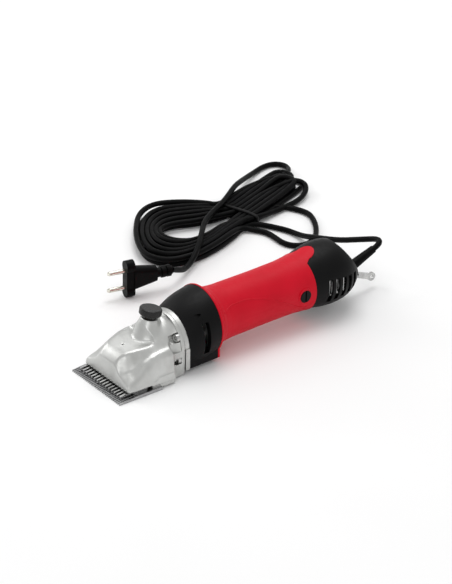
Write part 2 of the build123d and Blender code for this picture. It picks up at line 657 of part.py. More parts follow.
def make_casings():
    outer = [(0, COVER_END + 0.3), (FLARE_RADIUS, COVER_END + 0.3), (FLARE_RADIUS, COVER_END + 1.8),
             (33.9, 42), (31.2, 45), (29.2, 50), (28.1, 56), (GRIP_RADIUS, 64), (GRIP_RADIUS - 0.4, 110),
             (GRIP_RADIUS, 142), (28.6, 155), (29.5, SHELL_END), (0, SHELL_END)]
    inner = [(0, COVER_END), (31.5, COVER_END), (31.5, COVER_END + 2), (28.2, 44.5), (26.0, 51), (24.9, 58),
             (24.6, 66), (24.6, 156), (25.6, 157), (25.6, SHELL_END + 1), (0, SHELL_END + 1)]
    shell = turned(outer) - turned(inner)
    flange_foot = extrude(cover_foot(COVER_END + 0.3), -2.0)
    shell += flange_foot - rod_y(31.5, COVER_END, COVER_END + 4)
    shell -= block(-60, 60, COVER_END, COVER_END + 12, -60, -33.4)
    outline = extrude(tongue_outline(), 60)
    tongue = (rear_bulb(0.9) - rear_bulb(0.05)) & outline
    tongue = tongue & block(-40, 40, SHELL_END - 3, SHELL_END + 40, 0, 60)
    shell += tongue
    for sign in (-1, 1):
        x0, x1 = sorted((sign * 24.5, sign * 27.9))
        shell += rod_x(8.4, x0, x1, BRUSH_S, 0)
        x0, x1 = sorted((sign * 25.15, sign * 30.0))
        shell -= rod_x(6.4 + RUN_CLEARANCE, x0, x1, BRUSH_S, 0)
        x0, x1 = sorted((sign * 23.0, sign * 26.0))
        shell -= rod_x(3.2, x0, x1, BRUSH_S, 0)
    keep("grip_shell", body(shell))

    bulb = rear_bulb(0) & block(-60, 60, SHELL_END + 0.2, REAR_END + 1, -60, 60)
    bulb += rod_y(25.4, 157.2, SHELL_END + 2)
    hollow = rear_bulb(-2.4, 2) - slant_cut(-2.6)
    hollow += rod_y(22.9, 156, 176)
    rear = bulb - slant_cut(0) - hollow
    place = slant_place()
    rear -= place * (Pos(0, 1, 0) * Box(13.4, 19.4, 20))
    rear -= vent_slots()
    for x, h in CAP_SCREWS:
        rear += rod_y(3.6, REAR_END - 9, REAR_END, x, h)
        rear -= rod_y(1.7, REAR_END - 8, REAR_END + 2, x, h)
    keep("rear_housing", body(rear))


def vent_slots():
    """Curved upright slots on both flanks of the rear housing."""
    slots = []
    for sign in (-1, 1):
        for index in range(VENT_COUNT):
            s = VENT_FIRST_S + VENT_STEP * index
            low = -16.5 + 1.1 * index
            high = 9.5 - 0.6 * index
            x0, x1 = sorted((sign * 20, sign * 40))
            slots.append(block(x0, x1, s - 2.4, s + 2.4, low, high))
    return slots


def make_rear_fittings():
    bridge = ring_y(22.8, 19.5, BRIDGE_S - 3, BRIDGE_S + 10) + rod_y(12.0, BRIDGE_S - 0.5, BRIDGE_S + 9)
    for angle in (45, 135, 225, 315):
        bridge += Rot(0, angle, 0) * block(11, 21, BRIDGE_S, BRIDGE_S + 5, -2, 2)
    bridge -= rod_y(9.5, BRIDGE_S + 2, BRIDGE_S + 8)
    bridge -= rod_y(6.2, BRIDGE_S - 2, BRIDGE_S + 3)
    bridge -= rod_y(6.2, BRIDGE_S + 7, BRIDGE_S + 11)
    keep("bearing_bridge", body(bridge))

    filters = []
    for sign in (-1, 1):
        x0, x1 = sorted((sign * 24.5, sign * 25.5))
        mesh = block(x0, x1, VENT_FIRST_S - 2, VENT_FIRST_S + 26, -12, 11)
        bars = []
        for index in range(8):
            s = VENT_FIRST_S + 1.5 + index * 3.0
            bars.append(block(x0 - 1, x1 + 1, s - 1.0, s + 1.0, -10, 9))
        filters.append(body(mesh - bars))
    keep("vent_screens", group(filters))

    cap = turned([(0, REAR_END + 0.2), (19.5, REAR_END + 0.2), (18.3, REAR_END + 2.4), (15.6, REAR_END + 4.6),
                  (11.0, REAR_END + 6.3), (0, CAP_END)])
    cap -= slant_cut(0)
    cap += rod_y(8.0, REAR_END + 2, CAP_END + 1.5, 0, CAP_INLET_H)
    cap -= rod_y(5.5, REAR_END - 1, CAP_END + 3, 0, CAP_INLET_H)
    for x, h in CAP_SCREWS:
        cap -= rod_y(1.7, REAR_END - 1, CAP_END + 1, x, h)
        cap -= rod_y(3.2, REAR_END + 2.2, CAP_END + 3, x, h)
    keep("end_cap", body(cap))

    screws = []
    for x, h in CAP_SCREWS:
        head = rod_y(3.0, REAR_END + 2.3, REAR_END + 4.2, x, h)
        shank = rod_y(1.6, REAR_END - 7.5, REAR_END + 2.4, x, h)
        slot = block(x - 0.4, x + 0.4, REAR_END + 3.4, REAR_END + 6, h - 4, h + 4)
        screws.append(body(head + shank - slot))
    keep("end_cap_screws", group(screws))


# ---------------------------------------------------------------- switch
def make_switch():
    place = slant_place()
    frame = Pos(0, 1, 0.8) * Box(15.6, 21.6, 1.6) + Pos(0, 1, -5.5) * Box(13.0, 19.0, 11.2)
    well = Pos(0, 1, -0.5) * Box(10.6, 15.6, 7.0)
    frame -= well
    keep("switch_frame", body(place * frame))
    bar = Pos(0, 1, 0) * Rot(0, 90, 0) * Cylinder(2.2, 9.8)
    wings = [(-7.2, 2.6), (0, 1.4), (7.2, 0.4), (7.2, -1.4), (0, -2.0), (-7.2, 0.2)]
    plane = Plane(origin=(-4.9, 0, 0), x_dir=(0, 1, 0), z_dir=(1, 0, 0))
    rocker = extrude(plane * make_face(Polyline(*wings, close=True)), 9.8)
    rocker = Pos(0, 1, 0.4) * rocker + bar
    keep("switch_rocker", body(place * rocker))


# ---------------------------------------------------------------- hanging eye
EYE_PIVOT = (0.0, 145.5, 21.6)
EYE_HANG = -22.0             # strap direction below level, degrees


def make_hanging_eye():
    x0, y0, z0 = EYE_PIVOT
    lugs = []
    for sign in (-1, 1):
        a, b = sorted((sign * 2.0, sign * 4.0))
        lug = block(a, b, y0 - 9.0, y0 + 0.5, z0 - 2.9, z0 + 2.9)
        lug += rod_x(2.9, a, b, y0 + 0.5, z0)
        lug -= rod_x(1.25, a - 1, b + 1, y0, z0)
        lugs.append(lug)
    keep("eye_bracket", group(lugs))
    pin = rod_x(1.22, -4.8, 4.8, y0, z0) + rod_x(1.9, 4.1, 4.9, y0, z0) + rod_x(1.9, -4.9, -4.1, y0, z0)
    keep("eye_pin", pin)
    tip_radius = 4.6
    reach = TOOL_LENGTH / 2 - tip_radius - y0
    length = reach / math.cos(math.radians(EYE_HANG))
    eye = Cylinder(3.0, 3.0) + Pos(0, length / 2, 0) * Box(6.0, length, 3.0) + Pos(0, length, 0) * Cylinder(tip_radius, 3.0)
    eye -= Pos(0, length, 0) * Cylinder(2.4, 5)
    eye = Rot(0, 90, 0) * eye
    eye -= Rot(0, 90, 0) * Cylinder(1.22 + RUN_CLEARANCE, 8)
    keep("hanging_eye", Location((x0, y0, z0), (EYE_HANG, 0, 0)) * eye)


# ---------------------------------------------------------------- cord
LEAD_ROUTE = [
    (0.0, 169.94, 43.31), (0.0, 177.0, 46.0), (-5.0, 183.0, 47.0), (-13.5, 184.5, 44.6), (-24.0, 181.5, 40.6),
    (-37.0, 177.5, 35.6), (-51.5, 173.5, 30.0), (-67.0, 171.0, 25.0), (-83.0, 171.0, 19.6),
    (-98.0, 173.5, 13.6), (-112.5, 176.0, 7.4), (-126.5, 177.5, 3.6), (-141.0, 175.0, 3.1),
    (-157.0, 166.5, 3.1), (-169.5, 158.0, 3.1), (-178.5, 149.0, 3.1),
]
LOOP_ROUTE = [
    (-190.0, 198.0, 3.3), (-182.0, 208.5, 3.2), (-170.0, 216.0, 3.1), (-156.0, 219.0, 3.2),
    (-141.5, 213.0, 3.1), (-128.0, 204.5, 3.1), (-116.0, 194.5, 3.1), (-107.0, 183.0, 3.1),
    (-103.5, 169.5, 3.1), (-109.0, 158.0, 3.1), (-120.0, 152.5, 3.1), (-135.0, 153.5, 3.1),
    (-148.0, 154.0, 3.1), (-160.0, 147.5, 3.1), (-170.5, 136.5, 3.1),
]
TAIL_ROUTE = [
    (-235.0, 244.0, 9.5), (-241.5, 258.0, 7.5), (-252.0, 269.0, 4.6), (-265.5, 273.0, 3.2),
    (-275.0, 265.0, 3.1), (-275.5, 250.5, 3.1), (-269.0, 232.5, 3.6), (-259.0, 214.0, 7.0),
    (-247.0, 195.5, 12.0), (-235.5, 178.0, 16.0), (-222.5, 160.0, 16.4), (-210.0, 140.5, 16.4),
    (-199.5, 119.0, 16.4), (-187.0, 99.0, 16.3), (-171.0, 83.5, 16.4), (-155.5, 69.0, 16.4),
    (-142.5, 54.5, 13.5), (-134.0, 40.0, 7.5), (-126.0, 26.5, 8.5), (-119.0, 14.0, 14.5), (-115.69, 2.16, 20.6),
]
HANK_OUTLINE = [
    (-170.0, 5.0), (-147.0, 15.0), (-137.5, 40.0), (-142.0, 68.0), (-149.0, 94.0), (-160.0, 119.0),
    (-171.0, 142.0), (-183.0, 175.0), (-195.0, 211.0), (-207.0, 240.0), (-220.0, 257.0), (-236.0, 266.0),
    (-248.0, 261.0), (-247.0, 244.0), (-236.5, 216.0), (-226.0, 187.0), (-219.0, 160.0), (-226.0, 142.0),
    (-242.0, 122.0), (-258.0, 106.0), (-266.0, 85.0), (-256.0, 58.0), (-231.0, 36.0), (-203.0, 18.0),
]
TIE_MIDDLE = (-195.0, 149.0)
TIE_ANGLE = -17.0
TIE_SPAN = 56.0
TIE_WIDTH = 4.4
TIE_THICK = 1.0


def corner_radii(points):
    """Largest tangent arc at each corner: 0.45 of the shorter run over the tangent of half the turn."""
    radii = []
    for before, here, after in zip(points, points[1:], points[2:]):
        run_in = Vector(*here) - Vector(*before)
        run_out = Vector(*after) - Vector(*here)
        half_turn = math.radians(run_in.get_angle(run_out)) / 2
        radii.append(0.45 * min(run_in.length, run_out.length) / math.tan(half_turn))
    return radii


def cord_tube(name, points):
    """Round tube of the cord's section along straight runs and tangent arcs."""
    radii = corner_radii(points)
    path = FilletPolyline(*points, radius=radii)
    tube = sweep(Plane(path @ 0, z_dir=path % 0) * Circle(CORD_DIAMETER / 2), path=path)
    expected = math.pi * (CORD_DIAMETER / 2) ** 2 * path.length
    print(name, "length", round(path.length, 1), "volume/expected", round(tube.volume / expected, 4),
          "radii", [round(r, 1) for r in radii])
    keep(name, tube)


def make_boot():
    place = Location(BOOT_START, (BOOT_RISE - 90, 0, 0))
    boot = Pos(0, 0, BOOT_LENGTH / 2) * Cone(5.4, 3.9, BOOT_LENGTH)
    boot += Pos(0, 0, -3.0) * Cylinder(5.2, 7)
    keep("strain_relief", place * boot)


def make_hank():
    ring = make_face(Spline(*[(x, y) for x, y in HANK_OUTLINE], periodic=True))
    opening = Pos(-193, 75) * Rot(0, 0, 55) * Ellipse(18, 13)
    hank = extrude(ring - opening, HANK_HEIGHT)
    keep("cord_hank", hank)
    outer = Box(TIE_SPAN + 2 * TIE_THICK, TIE_WIDTH, HANK_HEIGHT + 2 * TIE_THICK)
    band = outer - Box(TIE_SPAN, TIE_WIDTH + 2, HANK_HEIGHT + 0.1)
    band = Pos(*TIE_MIDDLE, HANK_HEIGHT / 2) * Rot(0, 0, TIE_ANGLE) * band
    keep("cord_tie", band & block(-300, -100, 100, 200, 0.0, HANK_HEIGHT + TIE_THICK))


def make_plug():
    place = Location(PLUG_FACE, (0, 0, PLUG_ANGLE - 90))
    half = PIN_SPACING / 2
    shroud = rod_y(PLUG_LOBE, 0, 9.0, 0, PLUG_LOBE_H) + rod_y(PLUG_LOBE, 0, 9.0, 0, -PLUG_LOBE_H)
    shroud += block(-5.4, 5.4, 0, 9.0, -PLUG_LOBE_H, PLUG_LOBE_H)
    waist = loft([Plane(origin=(0, 8.5, 0), x_dir=(1, 0, 0), z_dir=(0, -1, 0)) * RectangleRounded(13, 26, 5.5),
                  Plane(origin=(0, PLUG_BODY_LENGTH, 0), x_dir=(1, 0, 0), z_dir=(0, -1, 0))
                  * RectangleRounded(11.5, 16.5, 5.0)])
    neck_end = PLUG_BODY_LENGTH + PLUG_NECK_LENGTH
    neck = turned([(0, PLUG_BODY_LENGTH - 0.5), (5.2, PLUG_BODY_LENGTH - 0.5), (4.9, PLUG_BODY_LENGTH + 5),
                   (4.2, neck_end), (0, neck_end)])
    for s in (PLUG_BODY_LENGTH + 5.5, PLUG_BODY_LENGTH + 11.5):
        neck += rod_y(6.1, s, s + 4.2)
    plug = shroud + waist + neck
    for h in (-half, half):
        plug -= rod_y(2.0, -1, 8, 0, h)
    keep("plug_body", place * plug)
    pins = []
    for h in (-half, half):
        sleeve = rod_y(PIN_RADIUS, -PIN_LENGTH + 2.0, -0.02, 0, h) + rod_y(1.98, -1, 7.9, 0, h)
        tip = Pos(0, -PIN_LENGTH + 1.0, h) * Rot(-90, 0, 0) * Cone(1.5, PIN_RADIUS, 2.0)
        pins.append(place * (sleeve + tip))
    keep("plug_pins", group(pins))


def main():
    make_comb()
    make_cutter()
    make_comb_screws()
    make_head_casting()
    make_head_screws()
    make_lever()
    make_tension()
    make_gears()
    make_bearings()
    make_gear_case()
    make_motor()
    make_brush_gear()
    make_casings()
    make_rear_fittings()
    make_switch()
    make_hanging_eye()
    make_boot()
    cord_tube("cord_lead", LEAD_ROUTE)
    cord_tube("cord_loop", LOOP_ROUTE)
    cord_tube("cord_tail", TAIL_ROUTE)
    make_hank()
    make_plug()
    os.makedirs("parts", exist_ok=True)
    for name, shape in PARTS.items():
        export_step(shape, f"parts/{name}.step")


main()
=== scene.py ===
import json
import math

import bmesh
import bpy
import numpy as np
import openvdb
from mathutils import Matrix, Vector


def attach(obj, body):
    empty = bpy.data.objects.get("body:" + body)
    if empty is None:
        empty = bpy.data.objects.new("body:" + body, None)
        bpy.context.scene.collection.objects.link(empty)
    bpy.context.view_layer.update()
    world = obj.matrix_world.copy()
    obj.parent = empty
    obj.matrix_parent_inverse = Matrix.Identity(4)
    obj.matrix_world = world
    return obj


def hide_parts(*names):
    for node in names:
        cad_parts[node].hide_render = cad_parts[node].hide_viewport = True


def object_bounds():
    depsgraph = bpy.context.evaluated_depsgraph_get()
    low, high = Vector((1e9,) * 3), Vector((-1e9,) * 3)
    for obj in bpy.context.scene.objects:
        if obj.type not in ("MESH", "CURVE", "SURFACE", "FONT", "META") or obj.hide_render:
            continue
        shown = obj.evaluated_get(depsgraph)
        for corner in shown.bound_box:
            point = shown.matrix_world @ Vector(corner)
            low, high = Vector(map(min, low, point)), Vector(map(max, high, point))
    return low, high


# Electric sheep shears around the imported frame. Metres, head towards -Y, lying on z = 0.
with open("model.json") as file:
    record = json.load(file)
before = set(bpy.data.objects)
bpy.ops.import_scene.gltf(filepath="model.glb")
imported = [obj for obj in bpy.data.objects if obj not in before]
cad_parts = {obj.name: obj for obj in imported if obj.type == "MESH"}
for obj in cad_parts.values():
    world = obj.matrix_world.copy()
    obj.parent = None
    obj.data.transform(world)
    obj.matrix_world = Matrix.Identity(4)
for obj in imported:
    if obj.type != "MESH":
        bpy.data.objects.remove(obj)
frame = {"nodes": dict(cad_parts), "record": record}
nodes = frame["nodes"]
cad_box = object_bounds()

MM = 0.001
HOME = "housing"


# ---------------------------------------------------------------- camera
CAMERA_PLACE = (1.51137, -1.24484, 1.13389)
CAMERA_AZIMUTH = 50.98
CAMERA_ELEVATION = 29.03
CAMERA_ROLL = 1.87
CAMERA_LENS = 142.06


def make_camera():
    """The camera of the photo, solved from the tool's outline."""
    data = bpy.data.cameras.new("camera")
    data.lens = CAMERA_LENS
    data.sensor_width = 36.0
    camera = bpy.data.objects.new("camera", data)
    turn = Matrix.Rotation(math.radians(CAMERA_AZIMUTH), 4, "Z")
    turn @= Matrix.Rotation(math.radians(90 - CAMERA_ELEVATION), 4, "X")
    turn @= Matrix.Rotation(math.radians(CAMERA_ROLL), 4, "Z")
    camera.matrix_world = Matrix.Translation(CAMERA_PLACE) @ turn
    bpy.context.scene.collection.objects.link(camera)
    bpy.context.scene.camera = camera


make_camera()


# ---------------------------------------------------------------- materials
class Surface:
    """A node material that starts with a Principled shader and object coordinates."""

    def __init__(self, name, roughness=0.5, metallic=0.0, specular=0.5):
        self.material = bpy.data.materials.new(name)
        self.material.use_nodes = True
        self.tree = self.material.node_tree
        self.shader = self.tree.nodes["Principled BSDF"]
        self.shader.inputs["Roughness"].default_value = roughness
        self.shader.inputs["Metallic"].default_value = metallic
        self.shader.inputs["Specular IOR Level"].default_value = specular
        self.place = self.node("ShaderNodeTexCoord").outputs["Object"]
        self.height = None

    def node(self, kind, **settings):
        made = self.tree.nodes.new(kind)
        for key, value in settings.items():
            setattr(made, key, value)
        return made

    def link(self, source, target):
        self.tree.links.new(source, target)

    def stretched(self, x, y, z):
        """Object coordinates scaled unevenly, for grain that runs one way."""
        mapping = self.node("ShaderNodeMapping")
        mapping.inputs["Scale"].default_value = (x, y, z)
        self.link(self.place, mapping.inputs["Vector"])
        return mapping.outputs["Vector"]

    def noise(self, scale, detail=4.0, roughness=0.55, place=None):
        noise = self.node("ShaderNodeTexNoise")
        noise.inputs["Scale"].default_value = scale
        noise.inputs["Detail"].default_value = detail
        noise.inputs["Roughness"].default_value = roughness
        self.link(place or self.place, noise.inputs["Vector"])
        return noise.outputs["Fac"]

    def ranged(self, value, low, high, start=0.3, stop=0.7):
        ranged = self.node("ShaderNodeMapRange")
        for key, number in (("From Min", start), ("From Max", stop), ("To Min", low), ("To Max", high)):
            ranged.inputs[key].default_value = number
        self.link(value, ranged.inputs["Value"])
        return ranged.outputs["Result"]

    def colours(self, value, *stops):
        """Colour ramp from (position, red, green, blue) stops into the base colour."""
        ramp = self.node("ShaderNodeValToRGB")
        elements = ramp.color_ramp.elements
        while len(elements) < len(stops):
            elements.new(0.5)
        for element, (position, *rgb) in zip(elements, stops):
            element.position = position
            element.color = (*rgb, 1.0)
        self.link(value, ramp.inputs["Fac"])
        self.link(ramp.outputs["Color"], self.shader.inputs["Base Color"])
        return ramp.outputs["Color"]

    def rough(self, value, low, high):
        self.link(self.ranged(value, low, high), self.shader.inputs["Roughness"])

    def bump(self, value, distance, strength=1.0):
        """Adds a relief; several may be stacked."""
        bump = self.node("ShaderNodeBump")
        bump.inputs["Distance"].default_value = distance
        bump.inputs["Strength"].default_value = strength
        self.link(value, bump.inputs["Height"])
        if self.height:
            self.link(self.height, bump.inputs["Normal"])
        self.height = bump.outputs["Normal"]
        self.link(self.height, self.shader.inputs["Normal"])


def cast_metal():
    """Tumbled aluminium casting: fine grit, cloudy sheen."""
    s = Surface("cast_aluminium_finish", metallic=1.0)
    cloud = s.noise(45, 3)
    s.colours(cloud, (0.3, 0.50, 0.505, 0.49), (0.7, 0.62, 0.625, 0.61))
    s.rough(s.noise(320, 5), 0.34, 0.46)
    s.bump(s.noise(1500, 3), 0.00006, 0.55)
    s.bump(s.noise(130, 2), 0.00012, 0.35)
    return s.material


def ground_steel(name, dark, light, rough_low, rough_high):
    """Steel ground along one direction, with faint streaks."""
    s = Surface(name, metallic=1.0)
    streaks = s.noise(60, 6, 0.6, s.stretched(1.0, 14.0, 14.0))
    s.colours(streaks, (0.3, *dark), (0.7, *light))
    s.rough(s.noise(90, 4), rough_low, rough_high)
    s.bump(streaks, 0.00004, 0.35)
    return s.material


def moulded(name, dark, light, rough_low, rough_high, grain=1800, depth=0.00004, specular=0.5):
    """Moulded plastic with a fine spark texture and slight colour change."""
    s = Surface(name, specular=specular)
    s.colours(s.noise(28, 3), (0.3, *dark), (0.7, *light))
    s.rough(s.noise(240, 4), rough_low, rough_high)
    s.bump(s.noise(grain, 2), depth, 0.6)
    return s.material


def plain_metal(name, dark, light, rough_low, rough_high):
    """Bare metal with a fine grain and slightly cloudy colour."""
    s = Surface(name, metallic=1.0)
    s.colours(s.noise(120, 4), (0.3, *dark), (0.7, *light))
    s.rough(s.noise(400, 4), rough_low, rough_high)
    s.bump(s.noise(900, 3), 0.00002, 0.4)
    return s.material


def laminated(name):
    """Stack of thin steel sheets along the motor axis."""
    s = Surface(name, metallic=1.0, roughness=0.45)
    sheets = s.node("ShaderNodeTexWave", wave_type="BANDS", bands_direction="Y")
    sheets.inputs["Scale"].default_value = 320
    sheets.inputs["Distortion"].default_value = 0.3
    s.link(s.place, sheets.inputs["Vector"])
    s.colours(sheets.outputs["Fac"], (0.2, 0.18, 0.17, 0.16), (0.8, 0.46, 0.45, 0.43))
    s.bump(sheets.outputs["Fac"], 0.00008, 0.7)
    return s.material


def wound_copper(name):
    """Winding wire, turn beside turn."""
    s = Surface(name, metallic=1.0, roughness=0.3)
    turns = s.node("ShaderNodeTexWave", wave_type="RINGS", rings_direction="Y")
    turns.inputs["Scale"].default_value = 260
    turns.inputs["Distortion"].default_value = 2.0
    s.link(s.place, turns.inputs["Vector"])
    s.colours(turns.outputs["Fac"], (0.2, 0.30, 0.10, 0.04), (0.8, 0.75, 0.33, 0.16))
    s.bump(turns.outputs["Fac"], 0.00015, 0.8)
    return s.material


def cord_rubber():
    """Black rubber sheath: satin, slightly dusty, with small scuffs."""
    s = Surface("rubber_finish", specular=0.07)
    s.colours(s.noise(55, 5), (0.35, 0.0008, 0.0008, 0.0009), (0.75, 0.0022, 0.0022, 0.0024))
    s.rough(s.noise(160, 4), 0.34, 0.52)
    s.bump(s.noise(2200, 2), 0.00003, 0.5)
    s.bump(s.noise(90, 3), 0.0001, 0.25)
    return s.material


MATERIALS = {
    "cast_aluminium": cast_metal(),
    "blade_steel": ground_steel(
        "blade_steel_finish", (0.28, 0.28, 0.285), (0.50, 0.50, 0.505), 0.24, 0.38),
    "steel": plain_metal("steel_finish", (0.42, 0.42, 0.42), (0.62, 0.62, 0.61), 0.22, 0.36),
    "black_plastic": moulded(
        "black_plastic_finish", (0.0015, 0.0015, 0.0016), (0.003, 0.003, 0.0033), 0.40, 0.52, specular=0.13),
    "red_plastic": moulded(
        "red_plastic_finish", (0.53, 0.002, 0.014), (0.60, 0.003, 0.018), 0.42, 0.54, specular=0.15),
    "knob_plastic": moulded(
        "knob_plastic_finish", (0.003, 0.003, 0.003), (0.008, 0.008, 0.0075), 0.16, 0.32, specular=0.35),
    "rubber": cord_rubber(),
    "copper": wound_copper("copper_finish"),
    "brass": plain_metal("brass_finish", (0.55, 0.38, 0.14), (0.80, 0.60, 0.28), 0.25, 0.4),
    "carbon": moulded("carbon_finish", (0.012, 0.012, 0.012), (0.035, 0.035, 0.035), 0.5, 0.7),
    "nylon": moulded("nylon_finish", (0.55, 0.53, 0.48), (0.68, 0.66, 0.60), 0.4, 0.55),
    "laminations": laminated("laminations_finish"),
    "plated_pin": plain_metal("plated_pin_finish", (0.62, 0.60, 0.52), (0.86, 0.84, 0.76), 0.16, 0.28),
}


def paint_frame():
    """Gives every CAD node the finish of its material slot."""
    slots = {part["node"]: part["material_slot"] for part in frame["record"]["subparts"]}
    for name, obj in nodes.items():
        finish = MATERIALS[slots[name]]
        if not obj.material_slots:
            obj.data.materials.append(finish)
        for material_slot in obj.material_slots:
            material_slot.material = finish


def dress(obj, slot_name, body=HOME):
    """Finish, slot and body of a piece made here."""
    obj.data.materials.clear()
    obj.data.materials.append(MATERIALS[slot_name])
    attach(obj, body)
    return obj


# ---------------------------------------------------------------- mains cord
CORD_DIAMETER = 0.006
LEAD_ROUTE = [
    (0.0, 0.16994, 0.04331), (0.0, 0.1770, 0.0460), (-0.0050, 0.1830, 0.0470), (-0.0135, 0.1845, 0.0446),
    (-0.0240, 0.1815, 0.0406), (-0.0370, 0.1775, 0.0356), (-0.0515, 0.1735, 0.0300),
    (-0.0670, 0.1710, 0.0250), (-0.0830, 0.1710, 0.0196), (-0.0980, 0.1735, 0.0136),
    (-0.1125, 0.1760, 0.0074), (-0.1265, 0.1775, 0.0036), (-0.1410, 0.1750, 0.0031),
    (-0.1570, 0.1665, 0.0031), (-0.1695, 0.1580, 0.0031), (-0.1745, 0.1500, 0.0031),
    (-0.1715, 0.1370, 0.0031),
]
LOOP_ROUTE = [
    (-0.1900, 0.1980, 0.0033), (-0.1820, 0.2085, 0.0032), (-0.1700, 0.2160, 0.0031),
    (-0.1560, 0.2190, 0.0032), (-0.1415, 0.2130, 0.0031), (-0.1280, 0.2045, 0.0031),
    (-0.1160, 0.1945, 0.0031), (-0.1070, 0.1830, 0.0031), (-0.1035, 0.1695, 0.0031),
    (-0.1090, 0.1580, 0.0031), (-0.1200, 0.1525, 0.0031), (-0.1350, 0.1535, 0.0031),
    (-0.1480, 0.1540, 0.0031), (-0.1600, 0.1475, 0.0031), (-0.1705, 0.1365, 0.0050),
]
TAIL_ROUTE = [
    (-0.2350, 0.2440, 0.0095), (-0.2415, 0.2580, 0.0075), (-0.2520, 0.2690, 0.0046),
    (-0.2655, 0.2730, 0.0032), (-0.2750, 0.2650, 0.0031), (-0.2755, 0.2505, 0.0031),
    (-0.2690, 0.2325, 0.0036), (-0.2590, 0.2140, 0.0070), (-0.2470, 0.1955, 0.0120),
    (-0.2355, 0.1780, 0.0160), (-0.2225, 0.1600, 0.0164), (-0.2100, 0.1405, 0.0164),
    (-0.1995, 0.1190, 0.0164), (-0.1870, 0.0990, 0.0163), (-0.1710, 0.0835, 0.0164),
    (-0.1555, 0.0690, 0.0164), (-0.1425, 0.0545, 0.0135), (-0.1340, 0.0400, 0.0075),
    (-0.1260, 0.0265, 0.0085), (-0.1190, 0.0140, 0.0145), (-0.11569, 0.00216, 0.0206),
]
# A turn of the hank runs round the wide lobe, through the tie and out and back along the bundle.
# These are the inmost and the outmost way round the wide lobe, from the tie down its right side;
# the turns in between are shares of the way from one to the other.
INMOST_LOBE = [
    (-0.184, 0.121), (-0.177, 0.101), (-0.1745, 0.085), (-0.1765, 0.068), (-0.185, 0.056),
    (-0.197, 0.051), (-0.208, 0.056), (-0.212, 0.068), (-0.209, 0.083), (-0.202, 0.099), (-0.199, 0.123),
]
OUTMOST_LOBE = [
    (-0.161, 0.118), (-0.150, 0.088), (-0.1425, 0.056), (-0.146, 0.022), (-0.170, 0.0085),
    (-0.201, 0.020), (-0.230, 0.040), (-0.253, 0.061), (-0.263, 0.086), (-0.252, 0.111), (-0.233, 0.134),
]
TIE_PLACE = Vector((-0.196, 0.150))
BUNDLE_WAY = Vector((-0.33, 0.944)).normalized()
BUNDLE_SIDE = Vector((BUNDLE_WAY.y, -BUNDLE_WAY.x))
TIE_STEP = 12                # the lobe has one step less: the twelfth is back at the tie
LOWER_TURNS = 4
TURNS = 9
TURN_INMOST = LOWER_TURNS + 0.5   # turns done where the cord is nearest the lobe's middle
LOWER_Z = 0.0031
UPPER_Z = 0.0093
LAST_Z = UPPER_Z + 0.0006
UPPER_SHARE = 0.82           # how far out the upper turns end
LOBE_WANDER = 0.020          # how unevenly the turns lie, as a share of the way out
WANDER_PER_TURN = 5.1
WANDER_PER_STEP = 0.9
BUNDLE_SWAY = 0.0004
SWAY_PER_TURN = 2.3
FOLD_LEAD = 0.022            # where a strand begins to rise, before its fold
FOLD_ROUNDING = 0.0015
# Out in the bundle each turn has its own side shift, fold width, reach and lift of the fold.
BUNDLE_TURNS = [
    (-0.0090, 0.024, 0.117, 0.000),
    (0.0090, 0.024, 0.113, 0.000),
    (-0.0030, 0.024, 0.108, 0.000),
    (0.0030, 0.024, 0.102, 0.000),
    (0.0120, 0.024, 0.112, 0.000),
    (-0.0060, 0.024, 0.112, 0.000),
    (0.0000, 0.024, 0.105, 0.000),
    (0.0060, 0.024, 0.098, 0.003),
]
STRAY_TURN = 4
STRAY_STEPS = slice(3, 8)    # the fold points that the stray fold takes the place of
STRAY_FOLD = [
    (-0.217, 0.247, 0.0120), (-0.206, 0.254, 0.0100), (-0.194, 0.246, 0.0070), (-0.185, 0.226, 0.0040),
    (-0.181, 0.190, 0.0040),
]
TO_LOOP = [(-0.2130, 0.1700, 0.0040), (-0.2040, 0.1840, 0.0034)]
LAST_SHARE = 0.98
LAST_BUNDLE = [(0.000, -0.0235), (0.029, -0.0235), (0.058, -0.0215), (0.086, -0.0140)]


def bundle_point(along, side, height):
    """Point of the bundle, from the tie along it and to its right."""
    place = TIE_PLACE + BUNDLE_WAY * along + BUNDLE_SIDE * side
    return (place.x, place.y, height)


def lobe_point(index, share, height):
    """Point of the wide lobe, a share of the way from the inmost turn to the outmost."""
    place = Vector(INMOST_LOBE[index - 1]).lerp(Vector(OUTMOST_LOBE[index - 1]), share)
    return (place.x, place.y, height)


def fold_points(turn):
    """The part of a turn from the tie out along the bundle, round its fold and back to the tie."""
    shift, width, reach, lift = BUNDLE_TURNS[turn]
    height = LOWER_Z if turn < LOWER_TURNS else UPPER_Z
    left = shift - width / 2
    right = shift + width / 2
    top = height + lift
    sway = BUNDLE_SWAY * math.sin(SWAY_PER_TURN * turn)
    half_top = (height + top) / 2
    points = [
        bundle_point(0.0, left, height), bundle_point(0.027, left + sway, height),
        bundle_point(0.056, left - sway, height), bundle_point(reach - FOLD_LEAD, left, half_top),
        bundle_point(reach, left + FOLD_ROUNDING, top), bundle_point(reach, right - FOLD_ROUNDING, top),
        bundle_point(reach - FOLD_LEAD, right, half_top), bundle_point(0.044, right + sway, height),
        bundle_point(0.0, right, height),
    ]
    if turn == STRAY_TURN:
        points[STRAY_STEPS] = STRAY_FOLD
    return points


